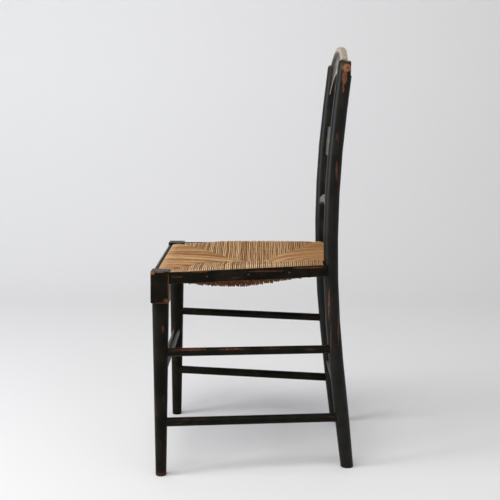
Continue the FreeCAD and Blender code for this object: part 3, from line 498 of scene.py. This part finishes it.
RIGHT_LEG_MARKS = (((-205, -198, 340), (5, 5, 12), 0.75), ((-214, -206, 425), (5, 6, 6), 0.7))
STRIP_MARKS = (
    ((210, -140, 428.5), (5, 45, 1.6), 0.7),
    ((206, -112, 427), (5, 22, 1.8), 0.5),
    ((186, 20, 425), (12, 50, 1.6), 0.4),
    ((172, 105, 430), (8, 45, 1.6), 0.5),
    ((213, -158, 418), (5, 14, 3), 0.25),
)
STRETCHER_MARKS = (
    ((204, -120, 266), (9, 40, 3), 0.45),
    ((196, -20, 264), (10, 55, 2.6), 0.6),
    ((186, 60, 263), (9, 40, 3), 0.5),
    ((176, 120, 258), (9, 22, 2.2), 0.35),
)
# The crest's upper and lower edge, as (apex, rise, wear, wear at the far end). The pale band along the
# lower edge is wear and a painted highlight
CREST_ARCHES = ((880.0, 31.0, 11.0, 5.0), (823.5, 44.0, -12.0, -4.0))
# Each spray is its height, its bend, its leaves and its dots
CREST_SPRAY = (
    845.0, 0.0017,
    ((16, 2, 13, 5, 25), (33, 7, 12, 4.5, 40), (34, -6, 12, 4.5, -28), (52, 3, 13, 5, 12),
     (70, 8, 11, 4, 38), (71, -4, 11, 4, -30), (90, 2, 12, 4.5, 5), (108, 0, 9, 3, -4)),
    ((0, 0, 7), (0, 12, 3.5), (22, -11, 3), (44, 12, 2.2), (61, -9, 2.2), (82, 9, 2)))
SLAT_SPRAY = (
    676.5, 0.0,
    ((20, 0, 14, 6, 0), (40, 9, 12, 5, 35), (40, -9, 12, 5, -35), (62, 0, 14, 5.5, 0),
     (82, 8, 10, 4, 30), (82, -8, 10, 4, -30), (102, 0, 11, 4.5, 0)),
    ((0, 0, 6), (0, 15, 3), (0, -15, 3), (26, 14, 2.2), (26, -14, 2.2), (122, 0, 2.5), (130, 0, 1.8)))
# The gloss of the posts, of the crest, and of the slat and the low rail
POST_GLOSS, CREST_GLOSS, SLAT_GLOSS = 0.17, 0.20, 0.45
# The middle of the plugs' end grain
PLUG_PITH = (0, 183.2, 831.5)

put_material("left_back_post", worn_paint(
    "paint_left_post", UP, 0.0, marks=LEFT_POST_MARKS, bare_marks=LEFT_POST_BARE,
    gloss=POST_GLOSS, tint=WINDOW_TINT))
put_material("right_back_post", worn_paint(
    "paint_right_post", UP, 0.31, marks=RIGHT_POST_MARKS, bare_marks=RIGHT_POST_BARE,
    gloss=POST_GLOSS, tint=WINDOW_TINT))
put_material("left_front_leg", worn_paint(
    "paint_left_leg", UP, 0.52, edges=1.2, marks=LEFT_LEG_MARKS, bare_marks=LEFT_LEG_BARE))
put_material("right_front_leg", worn_paint(
    "paint_right_leg", UP, 0.77, edges=1.2, marks=RIGHT_LEG_MARKS))
put_material("crest_rail", worn_paint(
    "paint_crest", ACROSS, 0.13, arches=CREST_ARCHES, stencil=CREST_SPRAY, gloss=CREST_GLOSS))
put_material("middle_slat", worn_paint(
    "paint_slat", ACROSS, 0.23, stencil=SLAT_SPRAY, gloss=SLAT_GLOSS))
put_material("lower_back_rail", worn_paint("paint_low_rail", ACROSS, 0.37, gloss=SLAT_GLOSS))
for index, (node, axis, marks) in enumerate((
        ("left_upper_stretcher", DEEP, STRETCHER_MARKS), ("left_lower_stretcher", DEEP, ()),
        ("right_upper_stretcher", DEEP, ()), ("right_lower_stretcher", DEEP, ()),
        ("front_stretcher", ACROSS, ()), ("back_stretcher", ACROSS, ()),
        ("front_edge_strip", ACROSS, ()), ("left_edge_strip", DEEP, STRIP_MARKS),
        ("right_edge_strip", DEEP, ()))):
    put_material(node, worn_paint("paint_" + node, axis, 0.9 + index * 0.21, edges=0.9, marks=marks))
for node, axis in (("front_seat_rail", ACROSS), ("back_seat_rail", ACROSS),
                   ("left_seat_rail", DEEP), ("right_seat_rail", DEEP)):
    put_material(node, bare_wood("wood_" + node, axis))
put_material("crest_plugs", bare_wood("plug_wood", ACROSS, PLUG_DARK, PLUG, PLUG_PITH))
put_material("edge_strip_nails", iron("nail_iron"))

# The rush seat, cord by cord. Lengths are in millimetres


def half_width(y):
    return HALF_FRONT + (HALF_BACK - HALF_FRONT) * (y - FRONT_Y) / DEPTH


def station(y, column):
    """The share of dish, pouch, pinch or pillow at a y, read from the stations."""
    share = min(max((y - FRONT_Y) / DEPTH, 0.0), 1.0)
    for low, high in zip(STATION_SHARES, STATION_SHARES[1:]):
        if share <= high[0]:
            t = (share - low[0]) / (high[0] - low[0])
            t = t * 0.5 + (3 * t * t - 2 * t * t * t) * 0.5
            return low[column] + (high[column] - low[column]) * t


def rail_top(y):
    return FRONT_TOP + (BACK_TOP - FRONT_TOP) * (y - FRONT_Y) / DEPTH


def top_height(x, y):
    u = min(abs(x) / (half_width(y) - EDGE), 1.0)
    pillow = math.exp(-((u - PILLOW_PLACE) / PILLOW_WIDTH) ** 2) * PILLOW * station(y, PILLOW_AT)
    dish = station(y, DISH_AT) * DISH * (1 - u) ** DISH_POWER
    return rail_top(y) - PINCH * station(y, PINCH_AT) + pillow - dish


def low_height(x, y):
    u = min(abs(x) / (half_width(y) - EDGE), 1.0)
    fall = min((1 - u) * (half_width(y) - EDGE) / POUCH_RUN, 1.0)
    fall = 3 * fall ** 2 - 2 * fall ** 3
    belly = BELLY * (1 - min(u * 1.2, 1.0) ** 2)
    pouch = station(y, POUCH_AT) * (POUCH * fall + belly)
    return rail_top(y) - WRAP + PINCH * station(y, PINCH_AT) - pouch


def between(chain, value, source, target):
    """Reads a chain of points at a value of one coordinate, and gives the other one."""
    for first, second in zip(chain, chain[1:]):
        low, high = sorted((first[source], second[source]))
        if low <= value <= high:
            share = (value - first[source]) / (second[source] - first[source])
            return first[target] + (second[target] - first[target]) * share


def hairpin(outer, inward, reach, lift, swell, droop):
    """The centre line of a cord: out from the mitre over the seat, round the rail and back below.

    Each point comes with how much it counts as the underside, from 0 to 1.
    """
    points = []
    sway = random.uniform(0.0, 6.3)

    def at(distance):
        aside = SWAY * math.sin(distance * SWAY_RATE + sway)
        return (outer[0] + inward[0] * distance - inward[1] * aside,
                outer[1] + inward[1] * distance + inward[0] * aside)

    def add(distance, z, under):
        points.append((Vector((*at(distance), z)), under))

    steps = max(3, int((reach - EDGE) / POINT_STEP))
    top = top_height(*at(reach))
    for past, down in TOP_TUCK:
        add(reach + past, top - CORD - down, 0.0)
    for index in range(steps + 1):
        share = index / steps
        distance = reach + (EDGE - reach) * share
        drop = FIRST_DROP if index == 0 else 0.0
        rise = swell * math.sin(math.pi * share ** 0.8)
        add(distance, top_height(*at(distance)) - CORD - drop + lift + rise, 0.0)
    x, y = at(EDGE)
    top, low = top_height(x, y) - CORD + lift, low_height(x, y) + CORD
    turn = EDGE - CORD - lift * 0.5
    for degrees in (30, 60, 90):
        a = math.radians(degrees)
        add(EDGE - math.sin(a) * turn, top - (1 - math.cos(a)) * turn, 0.0)
    add(EDGE - turn, (top + low) / 2, 0.3)
    for degrees in (90, 60, 30):
        a = math.radians(degrees)
        add(EDGE - math.sin(a) * turn, low + (1 - math.cos(a)) * turn, 0.8)
    for index in range(steps + 1):
        share = index / steps
        distance = EDGE + (reach - EDGE) * share
        sag = droop * math.sin(math.pi * share) + random.uniform(-LUMPS, LUMPS)
        add(distance, low_height(*at(distance)) + CORD - sag, 1.0)
    past, up = BOTTOM_TUCK
    add(reach + past, low_height(*at(reach)) + CORD + up, 1.0)
    return points


def reach_of(side, place):
    """How far in from the rail's outer face a cord runs before it dives at the mitre."""
    if side == "front":
        return between(FRONT_MITRE, abs(place), 0, 1) - FRONT_Y
    if side == "back":
        return BACK_Y - between(BACK_MITRE, abs(place), 0, 1)
    inner = 0.0
    if place < FRONT_MITRE[0][1]:
        inner = between(FRONT_MITRE, place, 1, 0)
    elif place > BACK_MITRE[0][1]:
        inner = between(BACK_MITRE, place, 1, 0)
    return half_width(place) - inner


def cords():
    """Every cord of the seat as (centre line, radius, tone)."""
    made = []

    def row(side, low, high):
        count = round((high - low) / (2 * CORD))
        for index in range(count):
            place = low + (high - low) * (index + 0.5) / count
            reach = reach_of(side, place)
            wobble = random.uniform(-WOBBLE, WOBBLE)
            lift = random.uniform(-LIFT, LIFT)
            droop = random.gauss(*DROOP)
            if random.random() < SLACK_SHARE:
                droop += random.uniform(*SLACK)
            swell = 0.0
            if side == "front":
                outer, inward, swell = (place + wobble, FRONT_Y), (0.0, 1.0), FRONT_SWELL
            elif side == "back":
                outer, inward, swell = (place + wobble, BACK_Y), (0.0, -1.0), BACK_SWELL
            else:
                sign = 1.0 if side == "left" else -1.0
                outer, inward = (sign * half_width(place), place + wobble), (-sign, 0.0)
            line = hairpin(outer, inward, reach, lift, swell, droop)
            tone = random.uniform(*TONES)
            # The front and back cords are darker, in bands of a few cords, so that the side cords stand
            # lighter as a painted highlight
            if side in ("front", "back"):
                tone = tone - 0.22 + 0.18 * math.sin(index * 0.83) + 0.10 * math.sin(index * 0.29 + 1.0)
            made.append((line, CORD * random.uniform(*THICKNESS), tone))

    row("front", -FRONT_MITRE[-1][0], FRONT_MITRE[-1][0])
    row("back", -BACK_MITRE[-1][0], BACK_MITRE[-1][0])
    row("left", FRONT_MITRE[-1][1], BACK_MITRE[-1][1])
    row("right", FRONT_MITRE[-1][1], BACK_MITRE[-1][1])
    return made


def make_mesh(name, vertices, faces):
    mesh = bpy.data.meshes.new(name)
    mesh.from_pydata(vertices, [], faces)
    mesh.polygons.foreach_set("use_smooth", [True] * len(mesh.polygons))
    mesh.update()
    obj = bpy.data.objects.new(name, mesh)
    bpy.context.scene.collection.objects.link(obj)
    return obj


def make_rush():
    """All the cords as one mesh, with a UV map and the tone and the underside of each point."""
    vertices, faces, uvs, tones, unders = [], [], [], [], []

    def tube(points, radius, tone):
        """One cord: a ring of corners at each point, joined to the ring before it."""
        start = len(vertices)
        length = 0.0
        twist = random.uniform(0, 1)
        run = points[0][0] - points[len(points) // 2][0]
        flat = Vector((run.x, run.y, 0.0)).normalized()
        side = Vector((-flat.y, flat.x, 0.0))
        for index, (point, under) in enumerate(points):
            before = points[max(index - 1, 0)][0]
            after = points[min(index + 1, len(points) - 1)][0]
            if index:
                length += (point - before).length
            up = (after - before).normalized().cross(side).normalized()
            fat = radius * (1 + 0.05 * math.sin(length * 0.31 + twist * 6.3))
            for corner in range(CORD_SIDES):
                a = 2 * math.pi * corner / CORD_SIDES
                skin = point + side * (math.cos(a) * fat) + up * (math.sin(a) * fat * 0.96)
                vertices.append(tuple(skin * MM))
                uvs.append((corner / CORD_SIDES, length / (2 * radius)))
                tones.append(tone)
                unders.append(under)
            if index:
                b = start + index * CORD_SIDES
                a = b - CORD_SIDES
                for corner in range(CORD_SIDES):
                    after_corner = (corner + 1) % CORD_SIDES
                    faces.append((a + corner, b + corner, b + after_corner, a + after_corner))

    for points, radius, tone in cords():
        tube(points, radius, tone)
    rush = make_mesh("rush_cords", vertices, faces)
    layer = rush.data.uv_layers.new(name="cord")
    for loop in rush.data.loops:
        layer.data[loop.index].uv = uvs[loop.vertex_index]
    for name, values in (("tone", tones), ("under", unders)):
        attribute = rush.data.attributes.new(name, "FLOAT", "POINT")
        attribute.data.foreach_set("value", values)
    rush.data.materials.append(rush_fibre("rush"))
    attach(rush, "root")
    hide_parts("rush_seat")


def make_packing():
    """The stuffing between the two layers of cords, which fills the seat behind them."""
    last = PACKING_STEPS - 1
    vertices, faces = [], []
    for layer in ("top", "bottom"):
        for row in range(PACKING_STEPS):
            y = FRONT_Y + PACKING_MARGIN + (DEPTH - 2 * PACKING_MARGIN) * row / last
            half = half_width(y) - PACKING_MARGIN
            if y < FRONT_MITRE[-1][1] + PACKING_FRONT:
                half = min(half, FRONT_MITRE[-1][0] - PACKING_INSIDE)
            if y > BACK_MITRE[-1][1] - PACKING_BACK:
                half = min(half, BACK_MITRE[-1][0] - PACKING_INSIDE)
            for column in range(PACKING_STEPS):
                x = -half + 2 * half * column / last
                if layer == "top":
                    z = top_height(x, y) - PACKING_COVER
                else:
                    z = low_height(x, y) + PACKING_COVER
                vertices.append((x * MM, y * MM, z * MM))
    below = PACKING_STEPS ** 2
    for row in range(last):
        for column in range(last):
            a = row * PACKING_STEPS + column
            b = a + PACKING_STEPS
            faces.append((a, a + 1, b + 1, b))
            faces.append((below + a, below + b, below + b + 1, below + a + 1))
    rim = ([(0, column) for column in range(last)] + [(row, last) for row in range(last)]
           + [(last, column) for column in range(last, 0, -1)] + [(row, 0) for row in range(last, 0, -1)])
    rim = [row * PACKING_STEPS + column for row, column in rim]
    for first, second in zip(rim, rim[1:] + rim[:1]):
        faces.append((first, below + first, below + second, second))
    core = make_mesh("rush_packing", vertices, faces)
    core.data.materials.append(packing("rush_packing"))
    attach(core, "root")


make_rush()
make_packing()

# Stage, light and camera. Lengths are in metres

# The floor along X: its edge behind the camera, a line beside the chair, and where it begins to curve up
FLOOR_X = (5.0, 1.0, -1.6)
CURVE_RADIUS, CURVE_STEPS = 0.9, 12
STAGE_HALF_WIDTH, WALL_TOP = 6.0, 5.0
# How far out the floor begins to fade into the background, and how far out it has gone
FADE_START, FADE_END = 1.6, 2.8
# The strength of the room's own light
ROOM_STRENGTH = 0.35
# The camera as it was fitted to the photo
CAMERA_PLACE = (2.1844, 0.0069, 0.7670)
YAW, PITCH, ROLL = -0.0084, 0.1484, 0.00044


def stage_paint():
    """Pale matt paint. To the camera it fades into the background some metres out, but not at the wall."""
    g = Graph("stage_paint")
    material = g.surface(STAGE, 0.9, Specular_IOR_Level=0.2)
    paint = g.output.inputs["Surface"].links[0].from_socket
    x, y, _ = g.split(g.place)
    out = g.most(g.size(y), x)
    seen = g.new("ShaderNodeLightPath").outputs["Is Camera Ray"]
    fade = g.new("ShaderNodeMixShader")
    g.feed(fade.inputs[0], g.times(g.ramp(out, FADE_START, FADE_END), seen))
    g.tree.links.new(paint, fade.inputs[1])
    g.tree.links.new(g.new("ShaderNodeBsdfTransparent").outputs[0], fade.inputs[2])
    g.tree.links.new(fade.outputs[0], g.output.inputs["Surface"])
    return material


def make_stage():
    """A pale floor that curves up into a pale wall, on the side that the camera looks towards."""
    profile = [(x, 0.0) for x in FLOOR_X]
    foot = FLOOR_X[-1]
    for step in range(1, CURVE_STEPS + 1):
        a = math.pi / 2 * step / CURVE_STEPS
        profile.append((foot - math.sin(a) * CURVE_RADIUS, CURVE_RADIUS - math.cos(a) * CURVE_RADIUS))
    profile.append((foot - CURVE_RADIUS, WALL_TOP))
    vertices, faces = [], []
    for x, z in profile:
        vertices.append((x, -STAGE_HALF_WIDTH, z))
        vertices.append((x, STAGE_HALF_WIDTH, z))
    for index in range(len(profile) - 1):
        a = index * 2
        faces.append((a, a + 1, a + 3, a + 2))
    floor = make_mesh("stage", vertices, faces)
    floor.data.materials.append(stage_paint())


def area(name, place, aim, wide, high, watts, colour):
    data = bpy.data.lights.new(name, "AREA")
    data.shape = "RECTANGLE"
    data.size = wide
    data.size_y = high
    data.energy = watts
    data.color = colour
    lamp = bpy.data.objects.new(name, data)
    bpy.context.scene.collection.objects.link(lamp)
    lamp.location = place
    lamp.rotation_euler = (Vector(aim) - Vector(place)).to_track_quat("-Z", "Y").to_euler()


def make_world():
    """A dim pale room that lights the chair, and a lighter background for the camera, gloss and glass."""
    world = bpy.data.worlds.new("room")
    world.use_nodes = True
    tree = world.node_tree
    room = tree.nodes["Background"]
    room.inputs["Color"].default_value = ROOM
    room.inputs["Strength"].default_value = ROOM_STRENGTH
    background = tree.nodes.new("ShaderNodeBackground")
    background.inputs["Color"].default_value = BACKGROUND
    path = tree.nodes.new("ShaderNodeLightPath")
    rays = path.outputs["Is Camera Ray"]
    for kind in ("Is Glossy Ray", "Is Transmission Ray"):
        either = tree.nodes.new("ShaderNodeMath")
        either.operation = "MAXIMUM"
        tree.links.new(rays, either.inputs[0])
        tree.links.new(path.outputs[kind], either.inputs[1])
        rays = either.outputs[0]
    blend = tree.nodes.new("ShaderNodeMixShader")
    tree.links.new(rays, blend.inputs[0])
    tree.links.new(room.outputs[0], blend.inputs[1])
    tree.links.new(background.outputs[0], blend.inputs[2])
    tree.links.new(blend.outputs[0], tree.nodes["World Output"].inputs["Surface"])
    bpy.context.scene.world = world


def make_camera():
    """The camera looks along -X, turned by yaw and pitch, and its picture leans by roll."""
    data = bpy.data.cameras.new("camera")
    data.sensor_width = 36.0
    data.lens = 72.0
    data.clip_end = 50.0
    camera = bpy.data.objects.new("camera", data)
    bpy.context.scene.collection.objects.link(camera)
    bpy.context.scene.camera = camera
    ahead = Vector((-math.cos(YAW) * math.cos(PITCH), math.sin(YAW) * math.cos(PITCH), -math.sin(PITCH)))
    level = Vector((math.sin(YAW), math.cos(YAW), 0.0))
    above = level.cross(ahead)
    right = level * math.cos(ROLL) + above * math.sin(ROLL)
    up = above * math.cos(ROLL) - level * math.sin(ROLL)
    rows = [(right[i], up[i], -ahead[i], CAMERA_PLACE[i]) for i in range(3)]
    camera.matrix_world = Matrix((*rows, (0.0, 0.0, 0.0, 1.0)))


make_stage()
area("window", place=(0.9, -2.9, 1.35), aim=(0.0, 0.0, 0.7), wide=1.3, high=2.3, watts=72.0,
     colour=(0.90, 0.945, 1.0))
area("overhead", place=(1.3, -0.6, 2.9), aim=(0.0, 0.0, 0.4), wide=1.6, high=1.6, watts=42.0,
     colour=(1.0, 0.98, 0.95))
area("fill", place=(2.6, 2.0, 2.2), aim=(0.0, 0.0, 0.4), wide=2.0, high=2.0, watts=14.0,
     colour=(0.98, 0.985, 1.0))
make_world()
make_camera()
bpy.context.scene.view_settings.view_transform = "Standard"
